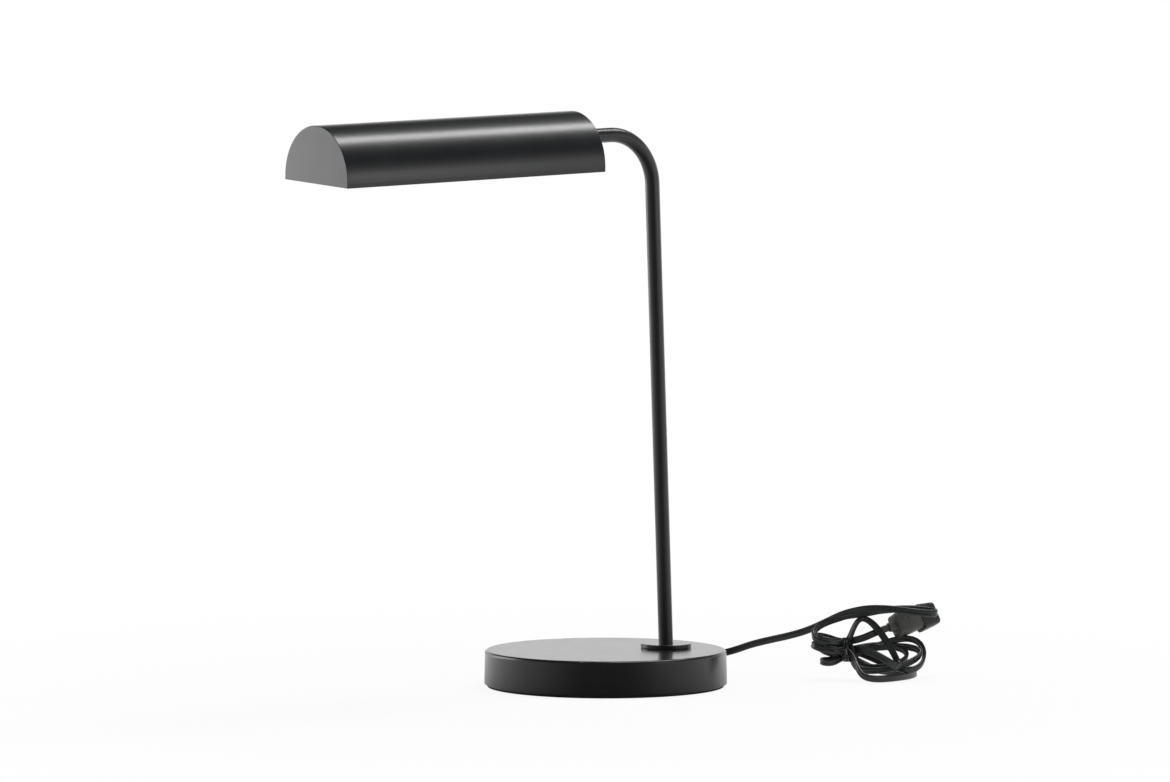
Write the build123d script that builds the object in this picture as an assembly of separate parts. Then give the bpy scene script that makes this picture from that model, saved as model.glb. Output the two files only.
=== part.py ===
"""Piano lamp: weighted round base, swivelling bent stem, half-round shade and a tied-up mains cord.

Millimetres, +Z up. The origin is the centre of the base's underside, and the shade points along -X.
"""
import os
from math import cos, radians, sin, tan

from build123d import *

# ---------------------------------------------------------------- fits
running_clearance = 0.05    # radial, between a shaft and the bore it turns in
face_clearance = 0.1        # axial, between faces that slide on each other
loose_fit = 0.1             # between parts that are pushed together and stay

# ---------------------------------------------------------------- base
base_diameter = 200.0
base_height = 30.0          # floor to the cover's top face
base_draft = 1.2            # degrees, the side leans in towards the top
cover_wall = 1.2
cover_edge_radius = 2.5
cover_rim_radius = 0.8
pad_thickness = 2.0
pad_inset = 2.5             # pad's edge inside the cover's rim
plate_thickness = 1.5
plate_clearance = 0.3
nut_space_height = 9.3      # between the weight and the cover, for the nut below the stem
weight_clearance = 1.5
stud_diameter = 8.0         # threaded studs welded under the cover
screw_circle_radius = 75.0
screw_count = 3
screw_bearing = 74.0        # degrees from +X to the first screw
screw_diameter = 4.0
screw_head_diameter = 8.0
screw_engagement = 6.0
screw_slot_width = 1.0
screw_slot_depth = 0.7

# ---------------------------------------------------------------- stem
foot_offset = 52.0          # stem axis from the base's centre
foot_bearing = -21.4        # degrees from +X, with the shade pointing along -X
stem_diameter = 12.0
stem_wall = 1.0
stem_lean = 2.2             # degrees, the stem leans towards the shade
arm_rise = 425.5            # base top to the arm's axis, along the stem
bend_radius = 42.0
arm_reach = 38.0            # end of the bend to the shade's rear face
flange_diameter = 42.0
flange_thickness = 3.0
flange_edge_radius = 0.6
foot_washer_diameter = 36.0
foot_washer_thickness = 0.5
thread_diameter = 10.0
thread_bore = 7.0
spigot_grip = 18.0          # threaded tube inside the stem
spigot_bend_radius = 25.0
spigot_below_nut = 2.0
lower_washer_diameter = 28.0
lower_washer_thickness = 1.0
spring_washer_thickness = 0.9
spring_washer_diameter = 20.0
foot_nut_across_flats = 17.0
foot_nut_thickness = 5.0

# ---------------------------------------------------------------- shade
shade_radius = 42.5
shade_skirt = 3.5           # straight side below the half-round
shade_length = 256.0        # over both end caps
shade_wall = 0.8
shade_lip = 5.0             # rim turned in
axis_above_rim = 24.5
shade_roll = 4.0            # degrees about the arm, at rest
cap_thickness = 1.5
cap_edge_radius = 0.4
cap_flange_depth = 6.0
cap_flange_wall = 0.8
reflector_thickness = 0.5
reflector_gap = 0.3

# Swivel of the shade on the arm, along the arm's axis
hub_boss_diameter = 20.0
hub_boss_length = 7.5
hub_flange_diameter = 30.0
hub_flange_thickness = 1.5
hub_spigot_diameter = 16.0
rivet_diameter = 3.0
rivet_head_diameter = 4.4
rivet_head_height = 1.2
rivet_circle_radius = 12.6
rivet_count = 3
collar_diameter = 18.0
collar_length = 5.0
collar_screw_diameter = 3.0
nipple_grip = 20.0          # threaded tube inside the arm
nipple_reach = 9.0          # threaded tube inside the lamp holder
friction_washer_diameter = 18.0
friction_washer_thickness = 1.0
arm_spring_washer_diameter = 17.0
arm_nut_across_flats = 15.0
arm_nut_thickness = 3.0

# ---------------------------------------------------------------- lamp holder and lamp
holder_diameter = 28.0
holder_wall = 1.8
holder_cap_length = 20.0
holder_skirt_length = 30.0
holder_neck_diameter = 17.0
holder_neck_length = 4.0
holder_ring_count = 5       # grooves round the skirt
holder_ring_pitch = 3.6
holder_ring_width = 0.9
holder_ring_depth = 0.45
insert_thickness = 8.0
contact_thickness = 1.5
contact_diameter = 6.0
screw_shell_wall = 0.8
bulb_thread_diameter = 14.0
bulb_cap_length = 25.0
bulb_tip_height = 3.0
bulb_length = 185.0
bulb_diameter = 30.0
bulb_shoulder_length = 14.0
bulb_glass_wall = 0.8

# ---------------------------------------------------------------- rotary switch in the rear cap
switch_offset = 27.0        # sideways from the arm's axis
switch_above_rim = 15.0
switch_body_diameter = 16.0
switch_body_length = 14.0
switch_bush_diameter = 9.0
switch_bush_reach = 3.5     # outside the cap
switch_nut_across_flats = 13.0
switch_nut_thickness = 2.0
terminal_width = 4.0
terminal_length = 6.0
terminal_thickness = 0.8
terminal_spacing = 8.0
spindle_diameter = 6.0
knob_diameter = 16.0
knob_length = 12.0
knob_gap = 0.5
knob_edge_radius = 1.0
knob_flutes = 20
flute_radius = 0.8
spindle_in_knob = 9.0

# ---------------------------------------------------------------- cord
cord_width = 6.0
exit_bearing = 14.0         # degrees from +X
lead_rise = 5.8             # cord's exit to the mouth of the threaded tube above it
relief_length = 24.0        # outside the cover
relief_diameter = 12.0
relief_tip_diameter = 8.0
relief_neck_diameter = 10.0
relief_collar = 1.5         # inside the cover
relief_shoulder_length = 2.0
relief_seat_gap = 0.4       # outer shoulder to the curved wall
relief_inner_gap = 0.7      # inner collar to the curved wall
inner_lead_diameter = 5.0
channel_width = 9.0
weight_hole_diameter = 28.0
clamp_length = 24.0
clamp_width = 10.0
clamp_thickness = 2.5
clamp_from_rim = 20.0       # clamp's centre to the base's rim
clamp_screw_spacing = 17.0
clamp_screw_diameter = 3.0
clamp_screw_head = 5.5
clamp_slot_width = 0.8
clamp_slot_depth = 0.6
clamp_screw_length = 10.0
wire_diameter = 4.4

# Free route of the cord, from the strain relief's tip to the bundle
lead_points = [
    (132.9, 33.1, 14.0), (145.5, 29.8, 14.6), (155.0, 20.9, 18.0), (159.6, 6.6, 23.5),
    (165.9, -11.0, 28.4), (171.8, -28.3, 32.7), (177.9, -44.4, 37.8), (183.3, -61.3, 45.5),
    (188.7, -78.1, 54.0), (194.7, -94.1, 58.5), (199.3, -104.1, 60.0), (204.5, -113.2, 60.2),
    (210.5, -121.6, 59.8), (216.2, -129.2, 58.8), (222.9, -136.9, 57.5), (233.9, -145.5, 56.5),
    (243.4, -133.3, 56.5), (233.0, -123.9, 57.0), (224.9, -116.3, 56.2), (215.9, -110.0, 54.0),
    (207.1, -105.1, 50.5), (199.8, -101.4, 43.0),
]
arc_share = 0.45            # of the shorter run, taken up by each arc

# Bundle of loops, seen along its own length
bundle_origin = (186.2, -86.2)
bundle_heading = -37.8      # degrees from +X
bundle_lobes = [            # (along, across, height of the middle, half length, radius)
    (-17.0, 1.0, 29.0, 15.0, 15.0),
    (20.0, -1.0, 25.0, 18.0, 22.0),
    (47.0, 8.0, 17.0, 26.0, 17.0),
]
floor_loop_place = (33.0, -1.0)      # the loops that lie flat, along and across
floor_loop_width = 66.0
floor_loop_length = 52.0
floor_loop_height = 6.6
floor_loop_edge = 2.5
neck_radius = 10.0
neck_height = 25.0
neck_from, neck_to = -14.0, 10.0
tail_end = (26.0, 2.0, 37.0)    # along, across and height, just inside the bundle
tie_thickness = 0.9
tie_width = 4.0
tie_tail_length = 14.0
tie_tail_diameter = 2.0

# ---------------------------------------------------------------- plug
plug_origin = (224.2, -104.4, 44.2)
plug_heading = -4.0
plug_pitch = 10.8
plug_roll = 65.0            # wide side turned from level
plug_length = 24.5
plug_width = 20.0           # at its fullest
plug_height = 15.0
plug_fullest = 11.0         # from the cord's end
plug_tail_width = 14.0
plug_tail_height = 11.0
plug_face_width = 17.0
plug_face_height = 12.5
plug_corner = 3.5
plug_face_edge = 0.8
plug_rib_count = 3
plug_rib_pitch = 2.2
plug_rib_depth = 0.8
plug_rib_width = 0.9
plug_dimple_radius = 1.6
plug_dimple_depth = 0.5
plug_sleeve_length = 7.0
plug_sleeve_diameter = 8.5
blade_spacing = 12.7
blade_width = 6.3
blade_thickness = 1.5
blade_length = 16.0
blade_root = 3.0            # inside the plug
blade_cover_width = 18.0    # cap that is pushed over the blades
blade_cover_height = 11.0
blade_cover_corner = 3.2
blade_cover_edge = 1.4
blade_cover_end = 1.3       # beyond the blades' tips

# ---------------------------------------------------------------- worked out from the sizes above
plate_bottom = pad_thickness
plate_top = plate_bottom + plate_thickness
cover_underside = base_height - cover_wall
weight_top = cover_underside - nut_space_height
weight_thickness = weight_top - plate_top
lead_top = cover_underside - lower_washer_thickness - spring_washer_thickness
lead_top -= foot_nut_thickness + spigot_below_nut + loose_fit
exit_height = lead_top - lead_rise
base_radius = base_diameter / 2
foot = (foot_offset * cos(radians(foot_bearing)), foot_offset * sin(radians(foot_bearing)))
stem_radius = stem_diameter / 2
stem_bore = stem_radius - stem_wall
thread_radius = thread_diameter / 2
tube_end = cap_thickness - 3 * face_clearance
swivel_start = cap_thickness + face_clearance
arm_nut_start = swivel_start + friction_washer_thickness + spring_washer_thickness
holder_start = arm_nut_start + arm_nut_thickness
holder_split = holder_start + holder_cap_length
insert_end = holder_split + holder_wall
bulb_start = insert_end + contact_thickness
bulb_glass_start = bulb_start + bulb_cap_length
hub_back = -(hub_flange_thickness + hub_boss_length)
switch_position = (switch_above_rim - axis_above_rim, switch_offset)

# Frames. Along the arm, local Z runs from the rear cap's outer face into the shade, and local X is up.
foot_frame = Pos(foot[0], foot[1], base_height)
stem_frame = foot_frame * Rotation(0, -stem_lean, 0)
arm_frame = stem_frame * Pos(-(bend_radius + arm_reach), 0, arm_rise) * Rotation(0, -90, 0)
shade_frame = stem_frame * Pos(-(bend_radius + arm_reach), 0, arm_rise) * Rotation(shade_roll, 0, 0)
shade_frame = shade_frame * Rotation(0, -90, 0)
switch_frame = shade_frame * Pos(switch_position[0], switch_position[1], 0)
exit_frame = Rotation(0, 0, exit_bearing) * Pos(base_radius, 0, exit_height) * Rotation(0, 90, 0)
bundle_frame = Pos(bundle_origin[0], bundle_origin[1], 0) * Rotation(0, 0, bundle_heading)
plug_frame = Pos(*plug_origin) * Rotation(0, 0, plug_heading) * Rotation(0, -plug_pitch, 0)
plug_frame = plug_frame * Rotation(plug_roll, 0, 0) * Rotation(0, 90, 0)


# ---------------------------------------------------------------- helpers
def turned(*profile):
    """Solid of revolution about Z from its (radius, height) corners, in order."""
    corners = [(radius, 0, height) for radius, height in profile]
    return revolve(make_face(Polyline(*corners, close=True)), Axis.Z)


def tube(outer_radius, bore_radius, start, length):
    """Plain ring or washer about Z."""
    end = start + length
    return turned((bore_radius, start), (outer_radius, start), (outer_radius, end), (bore_radius, end))


def rod(radius, start, length):
    """Plain cylinder about Z, standing on 'start'."""
    return Pos(0, 0, start) * Cylinder(radius, length, align=(Align.CENTER, Align.CENTER, Align.MIN))


def hex_nut(across_flats, bore_radius, start, thickness):
    outline = RegularPolygon(across_flats / 2, 6, major_radius=False) - Circle(bore_radius)
    return Pos(0, 0, start) * extrude(outline, amount=thickness)


def wavy_washer(outer_radius, bore_radius, start, height):
    """Spring washer, dished so that its rims stand apart."""
    sheet = height / 3
    return turned(
        (bore_radius, start + height - sheet), (outer_radius, start),
        (outer_radius, start + sheet), (bore_radius, start + height),
    )


def dome(inset, floor):
    """Half-round section 'inset' inside the shade's skin, with its straight edge 'floor' above the rim."""
    half_width = shade_radius - inset
    spring = shade_skirt - axis_above_rim
    rim = floor - axis_above_rim
    sides = Polyline((spring, -half_width), (rim, -half_width), (rim, half_width), (spring, half_width))
    arch = ThreePointArc((spring, half_width), (spring + half_width, 0), (spring, -half_width))
    return make_face(sides.edges() + arch.edges())


def cover_radius(height):
    """Outside radius of the base cover at a height above the floor."""
    return base_radius - (height - plate_bottom) * tan(radians(base_draft))


def round_sweep(path, radius):
    """Solid round bar along a path."""
    return sweep(Plane(path @ 0, z_dir=path % 0) * Circle(radius), path=path)


def screw_places():
    return PolarLocations(screw_circle_radius, screw_count, screw_bearing)


# ---------------------------------------------------------------- base pieces
def make_base_cover():
    skin = turned(
        (0, plate_bottom), (cover_radius(plate_bottom), plate_bottom),
        (cover_radius(base_height), base_height), (0, base_height),
    )
    rims = skin.edges().filter_by(GeomType.CIRCLE).sort_by(Axis.Z)
    skin = fillet(rims[-1], cover_edge_radius)
    skin = fillet(skin.edges().filter_by(GeomType.CIRCLE).sort_by(Axis.Z)[0], cover_rim_radius)
    cavity = turned(
        (0, 0), (cover_radius(0) - cover_wall, 0),
        (cover_radius(cover_underside) - cover_wall, cover_underside), (0, cover_underside),
    )
    ceiling = cavity.edges().filter_by(GeomType.CIRCLE).sort_by(Axis.Z)[-1]
    cavity = fillet(ceiling, cover_edge_radius - cover_wall)
    cover = skin - cavity
    stud_length = cover_underside - weight_top
    stud = tube(stud_diameter / 2, screw_diameter / 2, weight_top, stud_length + cover_wall / 2)
    cover += screw_places() * stud
    cover -= foot_frame * rod(thread_radius, -2 * cover_wall, 4 * cover_wall)
    cover -= exit_frame * rod(relief_neck_diameter / 2 + loose_fit, -4 * cover_wall, 6 * cover_wall)
    return cover


def make_base_pad():
    return rod(base_radius - pad_inset, 0, pad_thickness)


def make_base_plate():
    plate = rod(cover_radius(plate_bottom) - cover_wall - plate_clearance, plate_bottom, plate_thickness)
    return plate - screw_places() * screw_countersink(loose_fit)


def screw_countersink(margin):
    """Shape of a countersunk screw, 'margin' larger all round."""
    shank = screw_diameter / 2 + margin - loose_fit / 2
    head = screw_head_diameter / 2 + margin
    tip = weight_top + screw_engagement
    return turned(
        (0, plate_bottom), (head, plate_bottom), (shank, plate_bottom + head - shank),
        (shank, tip), (0, tip),
    )


def make_base_screws():
    slot = Pos(0, 0, plate_bottom) * Box(screw_head_diameter, screw_slot_width, 2 * screw_slot_depth)
    screw = screw_countersink(0) - slot
    return Part(children=[place * screw for place in screw_places()])


def make_base_weight():
    weight = rod(base_radius - cover_wall - weight_clearance, plate_top, weight_thickness)
    weight -= Pos(foot[0], foot[1], 0) * rod(weight_hole_diameter / 2, plate_top, weight_thickness)
    weight -= screw_places() * screw_countersink(loose_fit)
    pocket = collar_depth + loose_fit
    weight -= exit_frame * rod(relief_diameter / 2 + loose_fit, -pocket, pocket)
    floor = exit_height - inner_lead_diameter / 2
    centre_channel = Pos(0, 0, floor) * Box(
        base_radius, channel_width, base_height, align=(Align.MIN, Align.CENTER, Align.MIN))
    weight -= Pos(foot[0], foot[1], 0) * Rotation(0, 0, channel_bearing) * centre_channel
    for side in (-1, 1):
        place = clamp_frame * Pos(0, side * clamp_screw_spacing / 2, 0)
        weight -= place * rod(clamp_screw_diameter / 2, weight_top - clamp_screw_length, clamp_screw_length)
    return weight


# ---------------------------------------------------------------- cord pieces inside the base
collar_depth = cover_wall + relief_inner_gap + relief_collar
channel_mouth = Vector(base_radius - collar_depth - 1, 0, exit_height).rotate(Axis.Z, exit_bearing)
foot_point = Vector(foot[0], foot[1], exit_height)
channel_bearing = Vector(1, 0, 0).get_signed_angle(channel_mouth - foot_point, Vector(0, 0, 1))
clamp_reach = base_radius - clamp_from_rim - foot_offset
clamp_frame = Pos(foot[0], foot[1], 0) * Rotation(0, 0, channel_bearing) * Pos(clamp_reach, 0, 0)


def make_base_lead():
    """Cord from the strain relief's tip to the mouth of the threaded tube under the stem."""
    tip = Vector(base_radius + relief_length, 0, exit_height).rotate(Axis.Z, exit_bearing)
    top = foot_point + Vector(0, 0, lead_top - exit_height)
    path = FilletPolyline(tip, channel_mouth, foot_point, top, radius=inner_lead_diameter / 2 + 1)
    return round_sweep(path, inner_lead_diameter / 2)


def make_cord_clamp():
    foot_bottom = exit_height + inner_lead_diameter / 2 + running_clearance
    bar = Pos(0, 0, weight_top) * Box(
        clamp_width, clamp_length, clamp_thickness, align=(Align.CENTER, Align.CENTER, Align.MIN))
    bar = fillet(bar.edges().filter_by(Axis.Z), clamp_thickness)
    shoe = Pos(0, 0, foot_bottom) * Box(
        clamp_width, channel_width - 1, weight_top - foot_bottom,
        align=(Align.CENTER, Align.CENTER, Align.MIN))
    clamp = bar + shoe
    for side in (-1, 1):
        hole = rod(clamp_screw_diameter / 2 + loose_fit, weight_top, clamp_thickness)
        clamp -= Pos(0, side * clamp_screw_spacing / 2, 0) * hole
    return clamp_frame * clamp


def make_clamp_screws():
    head_bottom = weight_top + clamp_thickness
    shank = rod(clamp_screw_diameter / 2 - running_clearance, weight_top - clamp_screw_length + 1,
                clamp_screw_length - 1 + clamp_thickness)
    head = rod(clamp_screw_head / 2, head_bottom, clamp_screw_diameter / 2)
    slot = Box(clamp_screw_head, clamp_slot_width, 2 * clamp_slot_depth)
    screw = shank + head - Pos(0, 0, head_bottom + clamp_screw_diameter / 2) * slot
    places = [clamp_frame * Pos(0, side * clamp_screw_spacing / 2, 0) for side in (-1, 1)]
    return Part(children=[place * screw for place in places])


def make_cord_relief():
    bore = cord_width / 2 + running_clearance
    neck = relief_neck_diameter / 2
    shoulder = relief_diameter / 2
    inside = -(cover_wall + relief_inner_gap)
    return exit_frame * turned(
        (bore, inside - relief_collar), (shoulder, inside - relief_collar), (shoulder, inside),
        (neck, inside), (neck, relief_seat_gap), (shoulder, relief_seat_gap),
        (shoulder, relief_seat_gap + relief_shoulder_length), (relief_tip_diameter / 2, relief_length),
        (bore, relief_length),
    )


# ---------------------------------------------------------------- stem pieces
def stem_line(start, end):
    """Centreline of the stem, from 'start' above the base top to 'end' inside the shade's rear face."""
    corner = (0, 0, arm_rise)
    tip = (-(bend_radius + arm_reach + end), 0, arm_rise)
    return FilletPolyline((0, 0, start), corner, tip, radius=bend_radius)


def make_stem_tube():
    tilt_allowance = stem_radius * sin(radians(stem_lean))
    path = stem_line(foot_washer_thickness + face_clearance + tilt_allowance, tube_end)
    return stem_frame * (round_sweep(path, stem_radius) - round_sweep(path, stem_bore))


def make_stem_wires():
    path = stem_line(lead_top - base_height + 2 * loose_fit, holder_split - insert_thickness + holder_wall)
    return stem_frame * round_sweep(path, wire_diameter / 2)


def make_foot_flange():
    bottom = foot_washer_thickness + face_clearance
    flange = rod(flange_diameter / 2, bottom, flange_thickness)
    flange = fillet(flange.edges().filter_by(GeomType.CIRCLE).sort_by(Axis.Z)[-1], flange_edge_radius)
    flange -= Rotation(0, -stem_lean, 0) * rod(stem_radius, -stem_radius, flange_thickness + stem_diameter)
    return foot_frame * flange


def make_foot_upper_washer():
    return foot_frame * tube(foot_washer_diameter / 2, thread_radius, face_clearance, foot_washer_thickness)


def make_foot_spigot():
    """Threaded tube through the base; its upper end leans with the stem."""
    bottom = (0, 0, lead_top + loose_fit - base_height)
    seat = (0, 0, foot_washer_thickness + face_clearance)
    lean = radians(stem_lean)
    top = (-spigot_grip * sin(lean), 0, seat[2] + spigot_grip * cos(lean))
    path = FilletPolyline(bottom, seat, top, radius=spigot_bend_radius)
    outside = round_sweep(path, thread_radius - running_clearance)
    return foot_frame * (outside - round_sweep(path, thread_bore / 2))


def foot_stack(level):
    """Frame at 'level' below the cover's underside."""
    return Pos(foot[0], foot[1], cover_underside - face_clearance / 2 - level)


def make_foot_lower_washer():
    ring = tube(lower_washer_diameter / 2, thread_radius, 0, lower_washer_thickness)
    return foot_stack(lower_washer_thickness) * ring


def make_foot_spring_washer():
    ring = wavy_washer(spring_washer_diameter / 2, thread_radius, 0, spring_washer_thickness)
    return foot_stack(lower_washer_thickness + spring_washer_thickness) * ring


def make_foot_nut():
    nut = hex_nut(foot_nut_across_flats, thread_radius, 0, foot_nut_thickness)
    return foot_stack(lower_washer_thickness + spring_washer_thickness + foot_nut_thickness) * nut


# ---------------------------------------------------------------- pieces on the arm
def make_arm_collar():
    ring = tube(collar_diameter / 2, stem_radius, hub_back - face_clearance - collar_length, collar_length)
    return arm_frame * (ring - collar_screw_place() * rod(collar_screw_diameter / 2, 0, collar_diameter))


def collar_screw_place():
    middle = hub_back - face_clearance - collar_length / 2
    return Pos(0, 0, middle) * Rotation(0, -90, 0) * Pos(0, 0, stem_radius)


def make_collar_screw():
    length = collar_diameter / 2 - stem_radius - loose_fit
    screw = rod(collar_screw_diameter / 2 - running_clearance, 0, length)
    socket = Pos(0, 0, length / 2) * extrude(RegularPolygon(0.75, 6), amount=length)
    return arm_frame * (collar_screw_place() * (screw - socket))


def make_arm_nipple():
    length = nipple_grip + holder_start + nipple_reach
    return arm_frame * tube(thread_radius - running_clearance, thread_bore / 2, -nipple_grip, length)


def make_shade_friction_washer():
    ring = tube(friction_washer_diameter / 2, thread_radius, swivel_start, friction_washer_thickness)
    return arm_frame * ring


def make_shade_spring_washer():
    start = swivel_start + friction_washer_thickness
    ring = wavy_washer(arm_spring_washer_diameter / 2, thread_radius, start, spring_washer_thickness)
    return arm_frame * ring


def make_arm_nut():
    return arm_frame * hex_nut(arm_nut_across_flats, thread_radius, arm_nut_start, arm_nut_thickness)


def make_lampholder_cap():
    outer = holder_diameter / 2
    neck = holder_neck_diameter / 2
    floor = holder_split - insert_thickness + holder_wall
    shoulder = holder_start + holder_neck_length
    cap = turned(
        (thread_radius, holder_start), (neck, holder_start), (neck, shoulder),
        (outer - holder_wall, shoulder + holder_wall), (outer, shoulder + 3 * holder_wall),
        (outer, holder_split), (outer - holder_wall, holder_split), (outer - holder_wall, floor),
        (thread_radius, floor),
    )
    return arm_frame * cap


def make_lampholder_insert():
    start = holder_split - insert_thickness + holder_wall
    return arm_frame * rod(holder_diameter / 2 - holder_wall - loose_fit, start, insert_thickness)


def make_lampholder_contact():
    return arm_frame * rod(contact_diameter / 2, insert_end, contact_thickness)


def make_lampholder_skirt():
    outer = holder_diameter / 2
    cavity = outer - holder_wall
    bore = bulb_thread_diameter / 2 + 2 * loose_fit + screw_shell_wall
    end = holder_split + holder_skirt_length
    skirt = turned(
        (cavity, holder_split), (outer, holder_split), (outer, end - 4 * holder_wall),
        (outer - holder_wall / 2, end), (bore, end), (bore, insert_end), (cavity, insert_end),
    )
    groove = tube(outer + holder_ring_depth, outer - holder_ring_depth, 0, holder_ring_width)
    for ring in range(holder_ring_count):
        skirt -= Pos(0, 0, holder_split + (ring + 1) * holder_ring_pitch) * groove
    return arm_frame * skirt


def make_lampholder_screw_shell():
    bore = bulb_thread_diameter / 2 + loose_fit
    length = holder_skirt_length - holder_wall - 2 * contact_thickness
    return arm_frame * tube(bore + screw_shell_wall, bore, insert_end + contact_thickness, length)


def make_bulb_cap():
    radius = bulb_thread_diameter / 2
    shell_start = bulb_start + bulb_tip_height
    return arm_frame * turned(
        (0, bulb_start), (contact_diameter / 2, bulb_start), (radius, shell_start),
        (radius, bulb_glass_start), (0, bulb_glass_start),
    )


def make_bulb_glass():
    neck = bulb_thread_diameter / 2
    radius = bulb_diameter / 2
    end = bulb_start + bulb_length
    straight_start = bulb_glass_start + 2 * bulb_tip_height + bulb_shoulder_length
    neck_end = bulb_glass_start + 2 * bulb_tip_height

    def envelope(inset):
        side = radius - inset
        throat = neck - inset
        middle = ((side + throat) / 2, (neck_end + straight_start) / 2)
        shoulder = Spline((throat, neck_end), middle, (side, straight_start), tangents=((0, 1), (0, 1)))
        wall = Line((side, straight_start), (side, end - radius))
        tip = CenterArc((0, end - radius), side, 0, 90)
        base = Polyline((0, end - radius + side), (0, bulb_glass_start), (throat, bulb_glass_start),
                        (throat, neck_end))
        edges = shoulder.edges() + wall.edges() + tip.edges() + base.edges()
        return revolve(Plane.XZ * make_face(edges), Axis.Z)

    return arm_frame * (envelope(0) - envelope(bulb_glass_wall))


# ---------------------------------------------------------------- shade pieces
def make_shade_shell():
    mouth_width = 2 * (shade_radius - shade_wall - shade_lip)
    mouth = Pos(-axis_above_rim, 0) * Rectangle(4 * shade_wall, mouth_width)
    section = dome(0, 0) - dome(shade_wall, shade_wall) - mouth
    return shade_frame * Pos(0, 0, cap_thickness) * extrude(section, amount=shade_length - 2 * cap_thickness)


def end_cap():
    """Pressed end plate with its turned-in flange on the +Z side."""
    plate = extrude(dome(0, 0), amount=cap_thickness)
    plate = fillet(plate.edges().group_by(Axis.Z)[0], cap_edge_radius)
    seat = shade_wall + loose_fit
    flange = dome(seat, seat) - dome(seat + cap_flange_wall, -cap_thickness)
    return plate + Pos(0, 0, cap_thickness) * extrude(flange, amount=cap_flange_depth)


def make_shade_front_cap():
    return shade_frame * Pos(0, 0, shade_length) * Rotation(180, 0, 0) * mirror(end_cap(), Plane.XZ)


def rivet_places():
    return PolarLocations(rivet_circle_radius, rivet_count, 0)


def make_shade_rear_cap():
    cap = end_cap()
    cap -= rod(hub_spigot_diameter / 2 + running_clearance, 0, cap_thickness)
    cap -= rivet_places() * rod(rivet_diameter / 2 + running_clearance, 0, cap_thickness)
    cap -= Pos(*switch_position) * rod(switch_bush_diameter / 2 + running_clearance, 0, cap_thickness)
    return shade_frame * cap


def make_shade_hub():
    bore = stem_radius + running_clearance
    boss = hub_boss_diameter / 2
    flange = hub_flange_diameter / 2
    spigot = hub_spigot_diameter / 2
    hub = turned(
        (bore, hub_back), (boss, hub_back), (boss, -hub_flange_thickness), (flange, -hub_flange_thickness),
        (flange, 0), (spigot, 0), (spigot, cap_thickness), (bore, cap_thickness),
    )
    rivet_hole = rod(rivet_diameter / 2 + running_clearance, -hub_flange_thickness, 2 * cap_thickness)
    hub -= rivet_places() * rivet_hole
    return shade_frame * hub


def make_hub_rivets():
    grip = hub_flange_thickness + cap_thickness
    shank = rivet_diameter / 2
    head = rivet_head_diameter / 2
    rivet = turned(
        (0, -rivet_head_height), (head / 2, -rivet_head_height), (head, -rivet_head_height / 3), (head, 0),
        (shank, 0), (shank, grip), (head, grip), (head / 2, grip + rivet_head_height / 2),
        (0, grip + rivet_head_height / 2),
    )
    places = [shade_frame * place * Pos(0, 0, -hub_flange_thickness) for place in rivet_places()]
    return Part(children=[place * rivet for place in places])


def make_reflector():
    seat = shade_wall + reflector_gap
    sheet = dome(seat, seat) - dome(seat + reflector_thickness, -cap_thickness)
    margin = cap_thickness + cap_flange_depth + reflector_gap
    return shade_frame * Pos(0, 0, margin) * extrude(sheet, amount=shade_length - 2 * margin)


# ---------------------------------------------------------------- switch pieces
def make_switch_body():
    body = rod(switch_body_diameter / 2, cap_thickness, switch_body_length)
    body = fillet(body.edges().filter_by(GeomType.CIRCLE).sort_by(Axis.Z)[-1], cap_thickness / 2)
    bush = rod(switch_bush_diameter / 2, -switch_bush_reach, switch_bush_reach + cap_thickness)
    body += bush
    bore = spindle_diameter / 2 + running_clearance
    body -= rod(bore, -switch_bush_reach, switch_bush_reach + 2 * cap_thickness)
    for side in (-1, 1):
        lug = Box(terminal_width, terminal_thickness, terminal_length,
                  align=(Align.CENTER, Align.CENTER, Align.MIN))
        body += Pos(0, side * terminal_spacing / 2, cap_thickness + switch_body_length - 1) * lug
    return switch_frame * body


def make_switch_nut():
    bore = switch_bush_diameter / 2 + running_clearance
    return switch_frame * hex_nut(switch_nut_across_flats, bore, -switch_nut_thickness, switch_nut_thickness)


def make_switch_spindle():
    outer_end = -(switch_bush_reach + knob_gap + spindle_in_knob)
    return switch_frame * rod(spindle_diameter / 2, outer_end, cap_thickness - outer_end)


def make_switch_knob():
    back = -(switch_bush_reach + knob_gap)
    knob = rod(knob_diameter / 2, back - knob_length, knob_length)
    knob = fillet(knob.edges().filter_by(GeomType.CIRCLE).sort_by(Axis.Z)[0], knob_edge_radius)
    flute = rod(flute_radius, back - knob_length + 2 * knob_edge_radius, knob_length)
    knob -= PolarLocations(knob_diameter / 2 + flute_radius / 3, knob_flutes) * flute
    return switch_frame * (knob - rod(spindle_diameter / 2, back - spindle_in_knob, spindle_in_knob))


# ---------------------------------------------------------------- free cord
def arc_radii(points):
    """One radius for each inner corner, as large as its two runs allow."""
    radii = []
    for before, corner, after in zip(points, points[1:], points[2:]):
        arriving = Vector(*corner) - Vector(*before)
        leaving = Vector(*after) - Vector(*corner)
        turn = radians(arriving.get_angle(leaving))
        radii.append(arc_share * min(arriving.length, leaving.length) / tan(turn / 2))
    return radii


def make_cord_lead():
    start = exit_frame * Pos(0, 0, relief_length)
    points = [tuple(start.position)] + lead_points
    radii = arc_radii(points)
    print("cord_lead radii:", [round(radius, 1) for radius in radii])
    path = FilletPolyline(*points, radius=radii)
    lead = round_sweep(path, cord_width / 2)
    section = Circle(cord_width / 2).area
    print(f"cord_lead length {path.length:.0f}, volume {lead.volume:.0f} for {section * path.length:.0f}")
    return lead


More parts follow.
